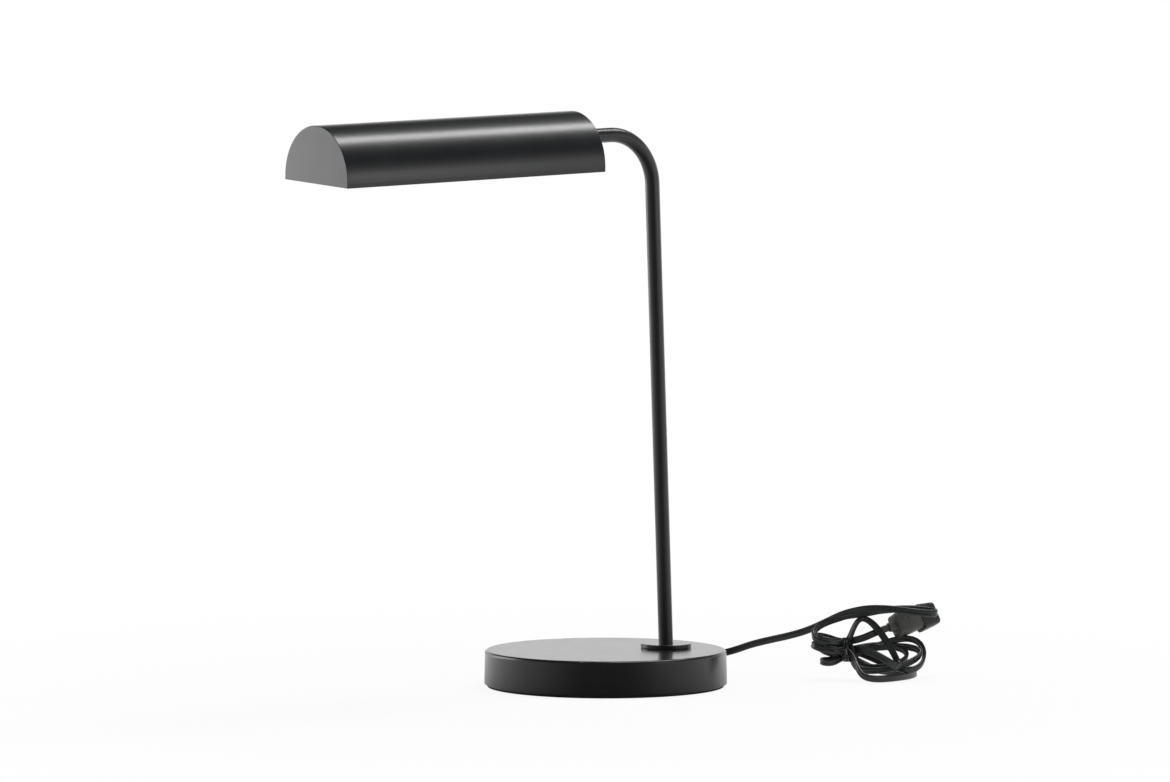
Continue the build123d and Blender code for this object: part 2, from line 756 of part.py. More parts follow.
def make_cord_bundle():
    bundle = Pos(neck_from, 0, neck_height) * Rotation(0, 90, 0) * rod(neck_radius, 0, neck_to - neck_from)
    for along, across, height, half_length, radius in bundle_lobes:
        upper_half = Rectangle(2 * half_length, radius, align=(Align.CENTER, Align.MIN))
        lobe = revolve(scale(Circle(1), by=(half_length, radius, 1)) & upper_half, Axis.X)
        bundle += Pos(along, across, height) * lobe
    flat = extrude(Ellipse(floor_loop_length / 2, floor_loop_width / 2), amount=floor_loop_height)
    flat = fillet(flat.edges().filter_by(Plane.XY), floor_loop_edge)
    bundle += Pos(*floor_loop_place, 0) * flat
    return bundle_frame * bundle


def make_cord_tail():
    """Straight end of the cord, from the bundle into the plug's sleeve."""
    sleeve_end = plug_frame * Pos(0, 0, -plug_sleeve_length)
    path = Line(sleeve_end.position, (bundle_frame * Pos(*tail_end)).position)
    return round_sweep(path, cord_width / 2)


def make_cord_tie():
    band = tube(neck_radius + tie_thickness, neck_radius, -tie_width / 2, tie_width)
    tail = Rotation(90, 0, 0) * Pos(0, 0, neck_radius) * rod(tie_tail_diameter / 2, 0, tie_tail_length)
    tie = band + tail
    return bundle_frame * Pos(0, 0, neck_height) * Rotation(0, 90, 0) * tie


# ---------------------------------------------------------------- plug
def make_plug_body():
    tail = RectangleRounded(plug_tail_height, plug_tail_width, plug_corner)
    full = RectangleRounded(plug_height, plug_width, plug_corner)
    face = RectangleRounded(plug_face_height, plug_face_width, plug_corner)
    body = loft([tail, Pos(0, 0, plug_fullest) * full, Pos(0, 0, plug_length) * face])
    body = fillet(body.edges().group_by(Axis.Z)[-1], plug_face_edge)
    for rib in range(plug_rib_count):
        level = (rib + 1) * plug_rib_pitch
        share = level / plug_fullest
        height = plug_tail_height + share * (plug_height - plug_tail_height) - 2 * plug_rib_depth
        width = plug_tail_width + share * (plug_width - plug_tail_width) - 2 * plug_rib_depth
        groove = Rectangle(2 * plug_height, 2 * plug_width) - RectangleRounded(height, width, plug_corner)
        body -= Pos(0, 0, level) * extrude(groove, amount=plug_rib_width)
    dimple = Sphere(plug_dimple_radius)
    body -= Pos(plug_height / 2 + plug_dimple_radius - plug_dimple_depth, 0, plug_fullest) * dimple
    sleeve = turned(
        (0, -plug_sleeve_length), (cord_width / 2 + loose_fit, -plug_sleeve_length),
        (plug_sleeve_diameter / 2, 0), (0, 0),
    )
    return plug_frame * (body + sleeve - blades(running_clearance))


def blades(margin):
    outline = RectangleRounded(blade_width + 2 * margin, blade_thickness + 2 * margin, blade_thickness / 3)
    blade = extrude(outline, amount=blade_root + blade_length)
    blade = chamfer(blade.edges().group_by(Axis.Z)[-1], blade_thickness / 4)
    pair = [Pos(0, side * blade_spacing / 2, plug_length - blade_root) * blade for side in (-1, 1)]
    return Part(children=pair)


def make_plug_blades():
    return plug_frame * blades(0)


def make_plug_cover():
    """Soft cap on the blades, gripped by its two slots."""
    outline = RectangleRounded(blade_cover_height, blade_cover_width, blade_cover_corner)
    cap = extrude(outline, amount=blade_length + blade_cover_end)
    cap = fillet(cap.edges().group_by(Axis.Z)[-1], blade_cover_edge)
    return plug_frame * (Pos(0, 0, plug_length) * cap - blades(running_clearance))


# ---------------------------------------------------------------- write one file for each node
nodes = {
    "base_cover": make_base_cover(),
    "base_pad": make_base_pad(),
    "base_plate": make_base_plate(),
    "base_screws": make_base_screws(),
    "base_weight": make_base_weight(),
    "base_lead": make_base_lead(),
    "cord_clamp": make_cord_clamp(),
    "clamp_screws": make_clamp_screws(),
    "cord_relief": make_cord_relief(),
    "stem_tube": make_stem_tube(),
    "stem_wires": make_stem_wires(),
    "foot_flange": make_foot_flange(),
    "foot_upper_washer": make_foot_upper_washer(),
    "foot_spigot": make_foot_spigot(),
    "foot_lower_washer": make_foot_lower_washer(),
    "foot_spring_washer": make_foot_spring_washer(),
    "foot_nut": make_foot_nut(),
    "arm_collar": make_arm_collar(),
    "collar_screw": make_collar_screw(),
    "arm_nipple": make_arm_nipple(),
    "shade_friction_washer": make_shade_friction_washer(),
    "shade_spring_washer": make_shade_spring_washer(),
    "arm_nut": make_arm_nut(),
    "lampholder_cap": make_lampholder_cap(),
    "lampholder_insert": make_lampholder_insert(),
    "lampholder_contact": make_lampholder_contact(),
    "lampholder_skirt": make_lampholder_skirt(),
    "lampholder_screw_shell": make_lampholder_screw_shell(),
    "bulb_cap": make_bulb_cap(),
    "bulb_glass": make_bulb_glass(),
    "shade_shell": make_shade_shell(),
    "shade_front_cap": make_shade_front_cap(),
    "shade_rear_cap": make_shade_rear_cap(),
    "shade_hub": make_shade_hub(),
    "hub_rivets": make_hub_rivets(),
    "reflector": make_reflector(),
    "switch_body": make_switch_body(),
    "switch_nut": make_switch_nut(),
    "switch_spindle": make_switch_spindle(),
    "switch_knob": make_switch_knob(),
    "cord_lead": make_cord_lead(),
    "cord_bundle": make_cord_bundle(),
    "cord_tie": make_cord_tie(),
    "cord_tail": make_cord_tail(),
    "plug_body": make_plug_body(),
    "plug_blades": make_plug_blades(),
    "plug_cover": make_plug_cover(),
}

os.makedirs("parts", exist_ok=True)
for name, shape in nodes.items():
    export_step(shape, f"parts/{name}.step")
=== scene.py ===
"""Piano lamp: its finishes, cord, tie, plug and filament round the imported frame, and the studio."""
from math import cos, pi, radians, sin, sqrt

import bmesh
import bpy
from mathutils import Matrix, Vector


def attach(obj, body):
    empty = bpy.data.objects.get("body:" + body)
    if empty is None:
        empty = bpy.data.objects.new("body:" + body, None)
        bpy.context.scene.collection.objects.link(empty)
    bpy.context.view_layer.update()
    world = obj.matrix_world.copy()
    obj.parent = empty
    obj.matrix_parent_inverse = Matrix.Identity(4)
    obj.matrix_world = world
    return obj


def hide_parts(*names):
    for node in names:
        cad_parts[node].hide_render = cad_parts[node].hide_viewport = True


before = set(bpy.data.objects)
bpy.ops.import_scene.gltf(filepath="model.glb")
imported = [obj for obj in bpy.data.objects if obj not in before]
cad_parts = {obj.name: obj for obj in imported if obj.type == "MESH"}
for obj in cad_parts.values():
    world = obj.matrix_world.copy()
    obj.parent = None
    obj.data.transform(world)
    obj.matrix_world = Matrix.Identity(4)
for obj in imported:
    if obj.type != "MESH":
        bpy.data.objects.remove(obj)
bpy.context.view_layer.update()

MM = 0.001
TINY = 1e-6

# ---------------------------------------------------------------- places in the frame (mm, degrees)
STEM_LEAN = 2.2
ARM_CENTRE = Vector((-47.86, -18.974, 452.115))     # centre of the shade's rear face
TIE_CENTRE = Vector((186.2, -86.2, 25.0))
BUNDLE_HEADING = -37.8
PLUG_REAR = Vector((224.2, -104.4, 44.2))
PLUG_HEADING, PLUG_PITCH = -4.0, 10.8

# X points along the arm's axis into the shade, Z is up
ARM = (
    Matrix.Translation(ARM_CENTRE)
    @ Matrix.Rotation(radians(-STEM_LEAN), 4, "Y")
    @ Matrix.Rotation(pi, 4, "Z")
)
# X points right along the bundle, Y deeper, Z up
BUNDLE = Matrix.Translation(TIE_CENTRE) @ Matrix.Rotation(radians(BUNDLE_HEADING), 4, "Z")
# X points along the plug to its blades
PLUG = (
    Matrix.Translation(PLUG_REAR)
    @ Matrix.Rotation(radians(PLUG_HEADING), 4, "Z")
    @ Matrix.Rotation(radians(-PLUG_PITCH), 4, "Y")
)

# ---------------------------------------------------------------- route of the cord
CORD_WIDTH, CORD_THICKNESS = 6.0, 3.2
CORE_ANGLE, CORE_STEPS = 124, 9     # each core's outline runs this far round to either side
SPAN_STEPS = 5                      # points of the line to each control point
UPRIGHT_PULL, WIDTH_EASING = 60.0, 40

# From the strain relief in the base to the tie
LEAD_ROUTE = [
    (120.3, 30.0, 14.0),
    (132.9, 33.1, 14.0), (145.5, 29.8, 14.6), (155.0, 20.9, 18.0), (159.6, 6.6, 23.5),
    (165.9, -11.0, 28.4), (171.8, -28.3, 32.7), (177.9, -44.4, 37.8), (183.3, -61.3, 45.5),
    (188.7, -78.1, 54.0), (194.7, -94.1, 58.5), (199.3, -104.1, 60.0), (204.5, -113.2, 60.2),
    (210.5, -121.6, 59.8), (216.2, -129.2, 58.8), (222.9, -136.9, 57.5), (233.9, -145.5, 56.5),
    (243.4, -133.3, 57.5), (233.0, -123.9, 59.0), (224.9, -116.3, 59.2), (215.9, -109.0, 58.6),
    (207.1, -103.1, 57.6), (198.8, -97.4, 55.5),
]

# Turns of the bundle, to the left and right of the tie in turn: how far the strand runs on straight
# out of the tie, then a point on the way out, the tip and a point on the way home; places are
# (along, deep, up) from the tie
LOOPS = [
    (-20, (-13, 7, 20.5), (-27.5, 1, 13), (-15, -7, 9.5)),
    (14, (13.5, -2, 26.5), (41.5, -12, -6.5), (27, -20, -2.6)),
    (-20, (-15, 9, 0.8), (-27.8, 2, 4.2), (-15, -6, 0)),
    (30, (39.9, 10, 1.1), (59.1, 2, -8.2), (11.1, -14, -14.7)),
    (-16, (-10, 7, -9.2), (-20.5, 0, -9.6), (-10.5, -7, -9.6)),
    (30, (44, 14, 8.5), (65.9, 8, -7.1), (39.7, -6, -15)),
    (-20, (-12, 14, 7), (-22, 12, 2), (-12, 8, -4)),
    (30, (34.3, 29.1, -21.6), (57.9, 9, -21.6), (14.5, -30.5, -21.6)),
    (-20, (-11, -9, 0.8), (-21, 0, 2.8), (-11, 8, -0.5)),
    (30, (28.4, 8, 3.7), (50.2, 4, -8.4), (9.5, -8, -11.9)),
    (-20, (-14, -8, 8), (-26, 1, 11), (-14, 9, 8.8)),
]
# Where the strands pass the tie, one after the other, as (deep, up); the first passes over it
TIE_PLACES = [
    (3, 28), (0, 6.1), (3.3, 0), (0, 0), (3.3, -6.1), (0, -6.1),
    (6.6, 0), (-3.3, -6.1), (-6.6, 0), (-3.3, 0), (-3.3, 6.1), (3.3, 6.1),
]
TAIL_ROUTE = [(13, -4, 9.5), (23.5, -1.5, 14.0)]
PLUG_ENTRY = [(-9, 0, 0), (1, 0, 0)]    # into the plug's rear, along its axis
TURN_STEPS = 13                         # from one pass of the tie to the next
TABLE_LEVEL = -21.6                     # lowest middle of the cord, from the tie


def turn_points(loop, start, end):
    """One turn of cord: out from 'start' at the tie, round its tip and home to 'end' at the tie."""
    run_on, *places = loop
    out, tip, home = (Vector(place) for place in places)
    straight = Vector((run_on, 0, 0))
    # a quarter of the way round, 'middle' and 'spread' bring the line to 'out', and later to 'home'
    middle = (out + home - tip) / 2 - (start + end) / 4 - straight / sqrt(8)
    spread = (out - home) / 2
    points = []
    for step in range(1, TURN_STEPS):
        angle = 2 * pi * step / TURN_STEPS
        crossing = start.lerp(end, step / TURN_STEPS) + straight * sin(angle / 2)
        place = crossing * (1 + cos(angle)) / 2
        place += tip * (1 - cos(angle)) / 2 + middle * sin(angle) ** 2
        place += spread * sqrt(2) * sin(angle) * sin(angle / 2)
        place.z = max(place.z, TABLE_LEVEL)
        points.append(place)
    return points


def bundle_points():
    """The cord from its first pass of the tie up to the plug, seen from the tie."""
    passes = [Vector((0, *place)) for place in TIE_PLACES]
    points = []
    for loop, start, end in zip(LOOPS, passes, passes[1:]):
        points.append(start)
        points += turn_points(loop, start, end)
    return points + passes[-1:] + [Vector(place) for place in TAIL_ROUTE]


def cord_route():
    """Control points of the whole cord, in metres."""
    route = [Vector(place) for place in LEAD_ROUTE]
    route += [BUNDLE @ place for place in bundle_points()]
    route += [PLUG @ Vector(place) for place in PLUG_ENTRY]
    return [place * MM for place in route]


def spline_line(name, places, resolution):
    """Points along a smooth NURBS line that has these control points."""
    curve = bpy.data.curves.new(name, "CURVE")
    curve.dimensions = "3D"
    spline = curve.splines.new("NURBS")
    spline.points.add(len(places) - 1)
    for point, place in zip(spline.points, places):
        point.co = (*place, 1)
    spline.order_u = 3
    spline.use_endpoint_u = True
    spline.resolution_u = resolution
    holder = bpy.data.objects.new(name, curve)
    line = bpy.data.meshes.new_from_object(holder)
    points = [vertex.co.copy() for vertex in line.vertices]
    bpy.data.objects.remove(holder)
    bpy.data.curves.remove(curve)
    bpy.data.meshes.remove(line)
    return points


# ---------------------------------------------------------------- mesh helpers
def add_piece(name, mesh, material, body):
    """A piece on a body, in a slot's finish; its object is at the origin, its place in its mesh."""
    piece = bpy.data.objects.new(name, mesh)
    bpy.context.scene.collection.objects.link(piece)
    mesh.materials.clear()
    mesh.materials.append(material)
    for face in mesh.polygons:
        face.material_index = 0
        face.use_smooth = True
    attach(piece, body)
    return piece


def solid_mesh(name, vertices, faces):
    """A mesh with its doubles merged and its faces turned outwards."""
    mesh = bpy.data.meshes.new(name)
    mesh.from_pydata([tuple(vertex) for vertex in vertices], [], faces)
    work = bmesh.new()
    work.from_mesh(mesh)
    bmesh.ops.remove_doubles(work, verts=work.verts, dist=TINY)
    bmesh.ops.recalc_face_normals(work, faces=work.faces)
    work.to_mesh(mesh)
    work.free()
    return mesh


def neighbours(items, index):
    """The items before and after this one; at an end of the list the item itself is one."""
    return items[max(index - 1, 0)], items[min(index + 1, len(items) - 1)]


def line_directions(points):
    directions = []
    for index in range(len(points)):
        before, after = neighbours(points, index)
        directions.append((after - before).normalized())
    return directions


def flat_widths(points, directions, pull, ease):
    """Direction of a flat cord's width at each point, square to the bend and drawn upright."""
    upright = Vector((0, 0, 1))
    widths = []
    for index, direction in enumerate(directions):
        before, after = neighbours(points, index)
        arriving, leaving = neighbours(directions, index)
        bend = arriving.cross(leaving) / max((after - before).length, TINY)
        if bend.dot(widths[-1] if widths else upright) < 0:
            bend = -bend
        wish = bend + upright * pull
        widths.append((wish - direction * wish.dot(direction)).normalized())
    for _ in range(ease):
        blended = []
        for index, width in enumerate(widths):
            before, after = neighbours(widths, index)
            blended.append(before + width + after)
        widths = [
            (width - way * width.dot(way)).normalized() for width, way in zip(blended, directions)
        ]
    return widths


def skin(vertices, sides):
    """Faces over rings of this many vertices, one ring after the other, and over both ends."""
    faces = []
    for ring in range(0, len(vertices) - sides, sides):
        after = ring + sides
        for corner in range(sides):
            following = (corner + 1) % sides
            faces.append((ring + corner, ring + following, after + following, after + corner))
    faces.append(tuple(reversed(range(sides))))
    faces.append(tuple(range(len(vertices) - sides, len(vertices))))
    return faces


def bar(points, directions, widths, profile):
    """Vertices and faces of a closed bar of a profile along a line."""
    vertices = []
    for point, direction, width in zip(points, directions, widths):
        through = direction.cross(width)
        vertices += [point + width * across + through * deep for across, deep in profile]
    return vertices, skin(vertices, len(profile))


def joined_bars(name, bars):
    """One mesh of several closed bars."""
    vertices, faces = [], []
    for bar_vertices, bar_faces in bars:
        shift = len(vertices)
        vertices += bar_vertices
        faces += [tuple(corner + shift for corner in face) for face in bar_faces]
    return solid_mesh(name, vertices, faces)


def round_profile(radius, sides):
    angles = [2 * pi * side / sides for side in range(sides)]
    return [(radius * cos(angle), radius * sin(angle)) for angle in angles]


def ribbon_profile(width, thickness):
    corners = (1, -1), (1, 1), (-1, 1), (-1, -1)
    return [(side * width / 2, face * thickness / 2) for side, face in corners]


def two_core_profile():
    """Outline of flat two-core cord, as (across the width, through the thickness)."""
    core = CORD_THICKNESS / 2
    centre = (CORD_WIDTH - CORD_THICKNESS) / 2
    steps = range(CORE_STEPS + 1)
    arc = [radians(-CORE_ANGLE + 2 * CORE_ANGLE * step / CORE_STEPS) for step in steps]
    right = [(centre + core * cos(angle), core * sin(angle)) for angle in arc]
    left = [(-across, -through) for across, through in right]
    return [(across * MM, through * MM) for across, through in right + left]


# ---------------------------------------------------------------- finishes
MIX_COLOURS, MIXED_COLOUR = (6, 7), 2       # a Mix node's sockets for colours
MIX_VALUES, MIXED_VALUE = (2, 3), 0         # and for plain values


class Finish:
    """A procedural finish, built up node by node round one shader."""

    def __init__(self, name, colour, roughness, **sockets):
        self.material = bpy.data.materials.new(name)
        self.material.use_nodes = True
        self.tree = self.material.node_tree
        self.shader = self.tree.nodes["Principled BSDF"]
        self.shader.inputs["Base Color"].default_value = (*colour, 1)
        self.shader.inputs["Roughness"].default_value = roughness
        for socket, value in sockets.items():
            self.shader.inputs[socket.replace("_", " ")].default_value = value
        self.place = self.add("ShaderNodeTexCoord").outputs["Object"]
        self.height = None

    def add(self, kind, **settings):
        node = self.tree.nodes.new(kind)
        for name, value in settings.items():
            setattr(node, name, value)
        return node

    def link(self, source, target):
        self.tree.links.new(source, target)

    def noise(self, scale, detail=2.0, stretch=(1, 1, 1), kind="ShaderNodeTexNoise", source=None):
        """Grey pattern; 'scale' is in grains per metre."""
        mapping = self.add("ShaderNodeMapping")
        mapping.inputs["Scale"].default_value = stretch
        self.link(source or self.place, mapping.inputs["Vector"])
        texture = self.add(kind)
        texture.inputs["Scale"].default_value = scale
        self.link(mapping.outputs["Vector"], texture.inputs["Vector"])
        if kind == "ShaderNodeTexVoronoi":
            return texture.outputs["Distance"]
        texture.inputs["Detail"].default_value = detail
        return texture.outputs["Fac"]

    def spread(self, pattern, low, high, start=0.35, stop=0.65):
        """The pattern's greys between 'start' and 'stop', spread from 'low' to 'high'."""
        scaled = self.add("ShaderNodeMapRange")
        limits = {"From Min": start, "From Max": stop, "To Min": low, "To Max": high}
        for socket, value in limits.items():
            scaled.inputs[socket].default_value = value
        self.link(pattern, scaled.inputs["Value"])
        return scaled.outputs["Result"]

    def colour(self, pattern, first, second):
        mix = self.add("ShaderNodeMix", data_type="RGBA")
        for socket, colour in zip(MIX_COLOURS, (first, second)):
            mix.inputs[socket].default_value = (*colour, 1)
        self.link(self.spread(pattern, 0, 1), mix.inputs["Factor"])
        self.link(mix.outputs[MIXED_COLOUR], self.shader.inputs["Base Color"])
        return self

    def roughness(self, pattern, low, high):
        self.link(self.spread(pattern, low, high), self.shader.inputs["Roughness"])
        return self

    def bump(self, pattern, depth):
        """Raises the surface by the pattern, 'depth' metres at most."""
        bump = self.add("ShaderNodeBump")
        bump.inputs["Distance"].default_value = depth
        bump.inputs["Strength"].default_value = 1.0
        self.link(pattern, bump.inputs["Height"])
        if self.height:
            self.link(self.height, bump.inputs["Normal"])
        self.height = bump.outputs["Normal"]
        self.link(self.height, self.shader.inputs["Normal"])
        return self


def satin_paint(name, colour, shade, roughness, skin):
    """Baked black paint: a fine orange peel under a smoother skin."""
    paint = Finish(
        name, colour, roughness, Specular_IOR_Level=0.2,
        Coat_Weight=1.0, Coat_Roughness=skin, Coat_IOR=1.4,
    )
    paint.colour(paint.noise(scale=26, detail=4), colour, shade)
    paint.roughness(paint.noise(scale=60, detail=3), roughness - 0.03, roughness + 0.03)
    paint.bump(paint.noise(scale=1300), depth=0.00002)
    return paint.material


def drawn_metal(name, colour, roughness, stretch=(1, 1, 1), depth=0.00001):
    """Bright metal with fine marks, long in the direction with the smallest stretch."""
    metal = Finish(name, colour, roughness, Metallic=1.0)
    marks = metal.noise(scale=1500, detail=3, stretch=stretch)
    darker = tuple(0.82 * part for part in colour)
    metal.colour(metal.noise(scale=90, detail=4, stretch=stretch), darker, colour)
    metal.roughness(marks, roughness - 0.05, roughness + 0.12)
    metal.bump(marks, depth)
    return metal.material


def moulded(name, colour, shade, roughness, grain, depth=0.00002, gloss=0.5):
    """Moulded plastic or rubber with its mould's grain, in grains per metre."""
    plastic = Finish(name, colour, roughness, Specular_IOR_Level=gloss)
    plastic.colour(plastic.noise(scale=70, detail=4), colour, shade)
    plastic.roughness(plastic.noise(scale=150, detail=3), roughness - 0.06, roughness + 0.06)
    plastic.bump(plastic.noise(grain), depth)
    return plastic.material


def cast_iron():
    iron = Finish("rough_cast_iron", (0.09, 0.09, 0.09), roughness=0.7, Metallic=0.4)
    iron.colour(iron.noise(scale=45, detail=6), (0.06, 0.06, 0.06), (0.13, 0.12, 0.115))
    iron.bump(iron.noise(scale=420, detail=5), depth=0.0004)
    iron.bump(iron.noise(scale=90, detail=3), depth=0.0006)
    return iron.material


def foam_pad():
    foam = Finish("foam_pad", (0.03, 0.03, 0.03), roughness=0.95, Specular_IOR_Level=0.2)
    pores = foam.noise(scale=900, kind="ShaderNodeTexVoronoi")
    foam.colour(foam.noise(scale=35, detail=5), (0.022, 0.022, 0.022), (0.04, 0.04, 0.042))
    foam.bump(pores, depth=0.0003)
    return foam.material


def lamp_glass():
    glass = Finish("clear_lamp_glass", (1, 1, 1), roughness=0.02, Transmission_Weight=1.0, IOR=1.47)
    glass.bump(glass.noise(scale=22), depth=0.00004)
    return glass.material


def cord_vinyl():
    """Soft glossy vinyl with faint drawn lines along the cord."""
    vinyl = Finish("cord_vinyl", (0.018, 0.019, 0.019), roughness=0.3, Specular_IOR_Level=0.5)
    along = vinyl.add("ShaderNodeUVMap", uv_map="along").outputs["UV"]
    lines = vinyl.noise(scale=240, detail=3, stretch=(0.02, 6, 1), source=along)
    clouds = vinyl.noise(scale=18, detail=4, source=along)
    wear = vinyl.noise(scale=60, detail=3, stretch=(0.2, 1, 1), source=along)
    vinyl.colour(clouds, (0.012, 0.013, 0.013), (0.024, 0.026, 0.026))
    vinyl.roughness(wear, low=0.24, high=0.36)
    vinyl.bump(lines, depth=0.00002)
    return vinyl.material


# Colours go from the first to the second in soft clouds
PAINT_SHADE = satin_paint(
    "satin_black_shade", (0.0094, 0.0103, 0.0118), (0.0122, 0.0133, 0.015),
    roughness=0.38, skin=0.25,
)
PAINT_BASE = satin_paint(
    "satin_black_base", (0.0085, 0.009, 0.009), (0.0115, 0.012, 0.012),
    roughness=0.38, skin=0.2,
)
PAINT_STEM = satin_paint(
    "satin_black_stem", (0.0135, 0.0145, 0.014), (0.017, 0.018, 0.0175),
    roughness=0.42, skin=0.3,
)
ZINC = drawn_metal("zinc_plate", (0.62, 0.62, 0.6), roughness=0.34)
BRASS = drawn_metal("bright_brass", (0.78, 0.6, 0.3), roughness=0.24)
NICKEL = drawn_metal("nickel_plate", (0.7, 0.69, 0.66), roughness=0.2)
REFLECTOR = drawn_metal(
    "rolled_aluminium", (0.86, 0.86, 0.86), roughness=0.3, stretch=(0.03, 1, 1), depth=0.000004,
)
TUNGSTEN = drawn_metal("tungsten_wire", (0.35, 0.34, 0.33), roughness=0.4)
PHENOLIC = moulded(
    "brown_phenolic", (0.022, 0.016, 0.012), (0.03, 0.02, 0.015), roughness=0.3, grain=600,
)
CERAMIC = moulded("white_ceramic", (0.82, 0.81, 0.77), (0.78, 0.77, 0.72), roughness=0.2, grain=300)
NYLON = moulded(
    "dark_nylon", (0.05, 0.05, 0.05), (0.06, 0.06, 0.06), roughness=0.5, grain=700, depth=0.00003,
)
KNOB = moulded(
    "black_knob", (0.012, 0.012, 0.012), (0.016, 0.016, 0.016), roughness=0.28, grain=900,
)
PLUG_VINYL = moulded(
    "plug_vinyl", (0.060, 0.060, 0.055), (0.075, 0.075, 0.069), roughness=0.45, grain=1500,
    depth=0.00004,
)
CAP_VINYL = moulded(
    "cap_vinyl", (0.022, 0.022, 0.022), (0.032, 0.032, 0.032), roughness=0.4, grain=1100,
    depth=0.00003,
)
RUBBER = moulded(
    "relief_rubber", (0.02, 0.02, 0.02), (0.03, 0.03, 0.03), roughness=0.55, grain=1200,
    depth=0.00006, gloss=0.4,
)
TIE_VINYL = moulded(
    "tie_vinyl", (0.012, 0.012, 0.013), (0.018, 0.018, 0.019), roughness=0.35, grain=500,
    depth=0.00003,
)
WIRE_VINYL = moulded("wire_vinyl", (0.5, 0.5, 0.48), (0.44, 0.44, 0.42), roughness=0.45, grain=300)
IRON = cast_iron()
FOAM = foam_pad()
GLASS = lamp_glass()
CORD = cord_vinyl()

NODE_FINISHES = {
    PAINT_SHADE: ["shade_shell", "shade_front_cap", "shade_rear_cap", "shade_hub"],
    PAINT_BASE: ["base_cover", "foot_flange"],
    PAINT_STEM: ["stem_tube", "arm_collar"],
    ZINC: [
        "base_plate", "base_screws", "cord_clamp", "clamp_screws", "foot_spigot",
        "foot_lower_washer", "foot_spring_washer", "foot_nut", "collar_screw", "arm_nipple",
        "shade_spring_washer", "arm_nut", "hub_rivets",
    ],
    BRASS: ["lampholder_contact", "lampholder_screw_shell", "plug_blades"],
    NICKEL: ["bulb_cap", "switch_nut"],
    REFLECTOR: ["reflector"],
    PHENOLIC: ["lampholder_cap", "lampholder_skirt", "switch_body", "switch_spindle"],
    CERAMIC: ["lampholder_insert"],
    NYLON: ["foot_upper_washer", "shade_friction_washer"],
    KNOB: ["switch_knob"],
    PLUG_VINYL: ["plug_body"],
    CAP_VINYL: ["plug_cover"],
    RUBBER: ["cord_relief"],
    TIE_VINYL: ["cord_tie"],
    WIRE_VINYL: ["stem_wires"],
    IRON: ["base_weight"],
    FOAM: ["base_pad"],
    GLASS: ["bulb_glass"],
    CORD: ["base_lead", "cord_lead", "cord_bundle", "cord_tail"],
}
for finish, names in NODE_FINISHES.items():
    for name in names:
        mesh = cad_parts[name].data
        mesh.materials.clear()
        mesh.materials.append(finish)


# ---------------------------------------------------------------- tie round the bundle
TIE_ACROSS, TIE_UPRIGHT = 9.9, 9.8      # half sizes of the wrap, deep and up
TIE_WIDTH, TIE_THICKNESS = 3.2, 0.7
TIE_PITCH = 3.3                         # from the wrap's one end to the other, along the bundle
WRAP_TURNS, WRAP_STEPS = 2, 96
TWIST_LENGTH, TWIST_TURNS, TWIST_RADIUS = 8.0, 2.5, 0.6
TWIST_DROOP, TWIST_STEPS = 4, 60


def tie_wrap():
    """The ribbon's two turns round the strands, from the twist and back to it."""
    points = []
    for step in range(WRAP_STEPS + 1):
        angle = 2 * pi * WRAP_TURNS * step / WRAP_STEPS
        along = TIE_PITCH * (step / WRAP_STEPS - 0.5)
        points.append(Vector((along, -TIE_ACROSS * cos(angle), TIE_UPRIGHT * sin(angle))))
    widths = [Vector((1, 0, 0))] * len(points)
    return bar(points, line_directions(points), widths, ribbon_profile(TIE_WIDTH, TIE_THICKNESS))


def tie_twist(phase):
    """One of the two ribbon ends, twisted about the other away from the wrap and drooping."""
    points, widths = [], []
    for step in range(TWIST_STEPS + 1):
        share = step / TWIST_STEPS
        angle = phase + 2 * pi * TWIST_TURNS * share
        middle = Vector((0, -TIE_ACROSS - TWIST_LENGTH * share, -TWIST_DROOP * share * share))
        points.append(middle + Vector((cos(angle), 0, sin(angle))) * TWIST_RADIUS)
        widths.append(Vector((-sin(angle), 0, cos(angle))))
    return bar(points, line_directions(points), widths, ribbon_profile(TIE_WIDTH, TIE_THICKNESS))


def add_tie():
    mesh = joined_bars("tie_ribbon", [tie_wrap(), tie_twist(0), tie_twist(pi)])
    mesh.transform(Matrix.Scale(MM, 4) @ BUNDLE)
    piece = add_piece("tie_ribbon", mesh, TIE_VINYL, "base")
    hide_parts("cord_tie")
    return piece


# ---------------------------------------------------------------- plug and the cap on its blades
PLUG_ROLL = 65.0                        # wide side turned from level
# Stations along the plug from its rear: distance, half width and half thickness
PLUG_STATIONS = [(-0.8, 8.9, 6.6), (4, 9.7, 7.2), (11, 10, 7.5), (24.5, 8.6, 6.4)]
CAP_STATIONS = [(23.6, 10.9, 7.1), (26, 11, 7.2), (41.8, 9.1, 6.2)]
SLEEVE_STATIONS = [(-7, 3.7, 2.6), (-4, 4.2, 3.2), (0.2, 5, 4)]
# Radius of the long corners, and of the edges round the rear and the front end
PLUG_ROUNDING, SLEEVE_ROUNDING = 2.6, 2.4
PLUG_EDGES, CAP_EDGES, SLEEVE_EDGES = (1.6, 0.8), (0.6, 2.2), (0.4, 0.4)
# Grooves round the plug's cord end, with the ribs left between them
GROOVE_START, GROOVE_PITCH, GROOVE_COUNT = 1.6, 1.8, 3
GROOVE_REACH, GROOVE_DEPTH, GROOVE_FULLNESS = 0.45, 0.2, 0.7
DIMPLE_ALONG, DIMPLE_ACROSS, DIMPLE_RADIUS, DIMPLE_DEPTH = 8.8, 1.6, 1.8, 0.6
CORNER_STEPS, WIDE_STEPS, NARROW_STEPS = 6, 30, 18
RING_PITCH = 0.35
EDGE_ANGLES = range(12, 90, 12)         # rings that round an end's edge


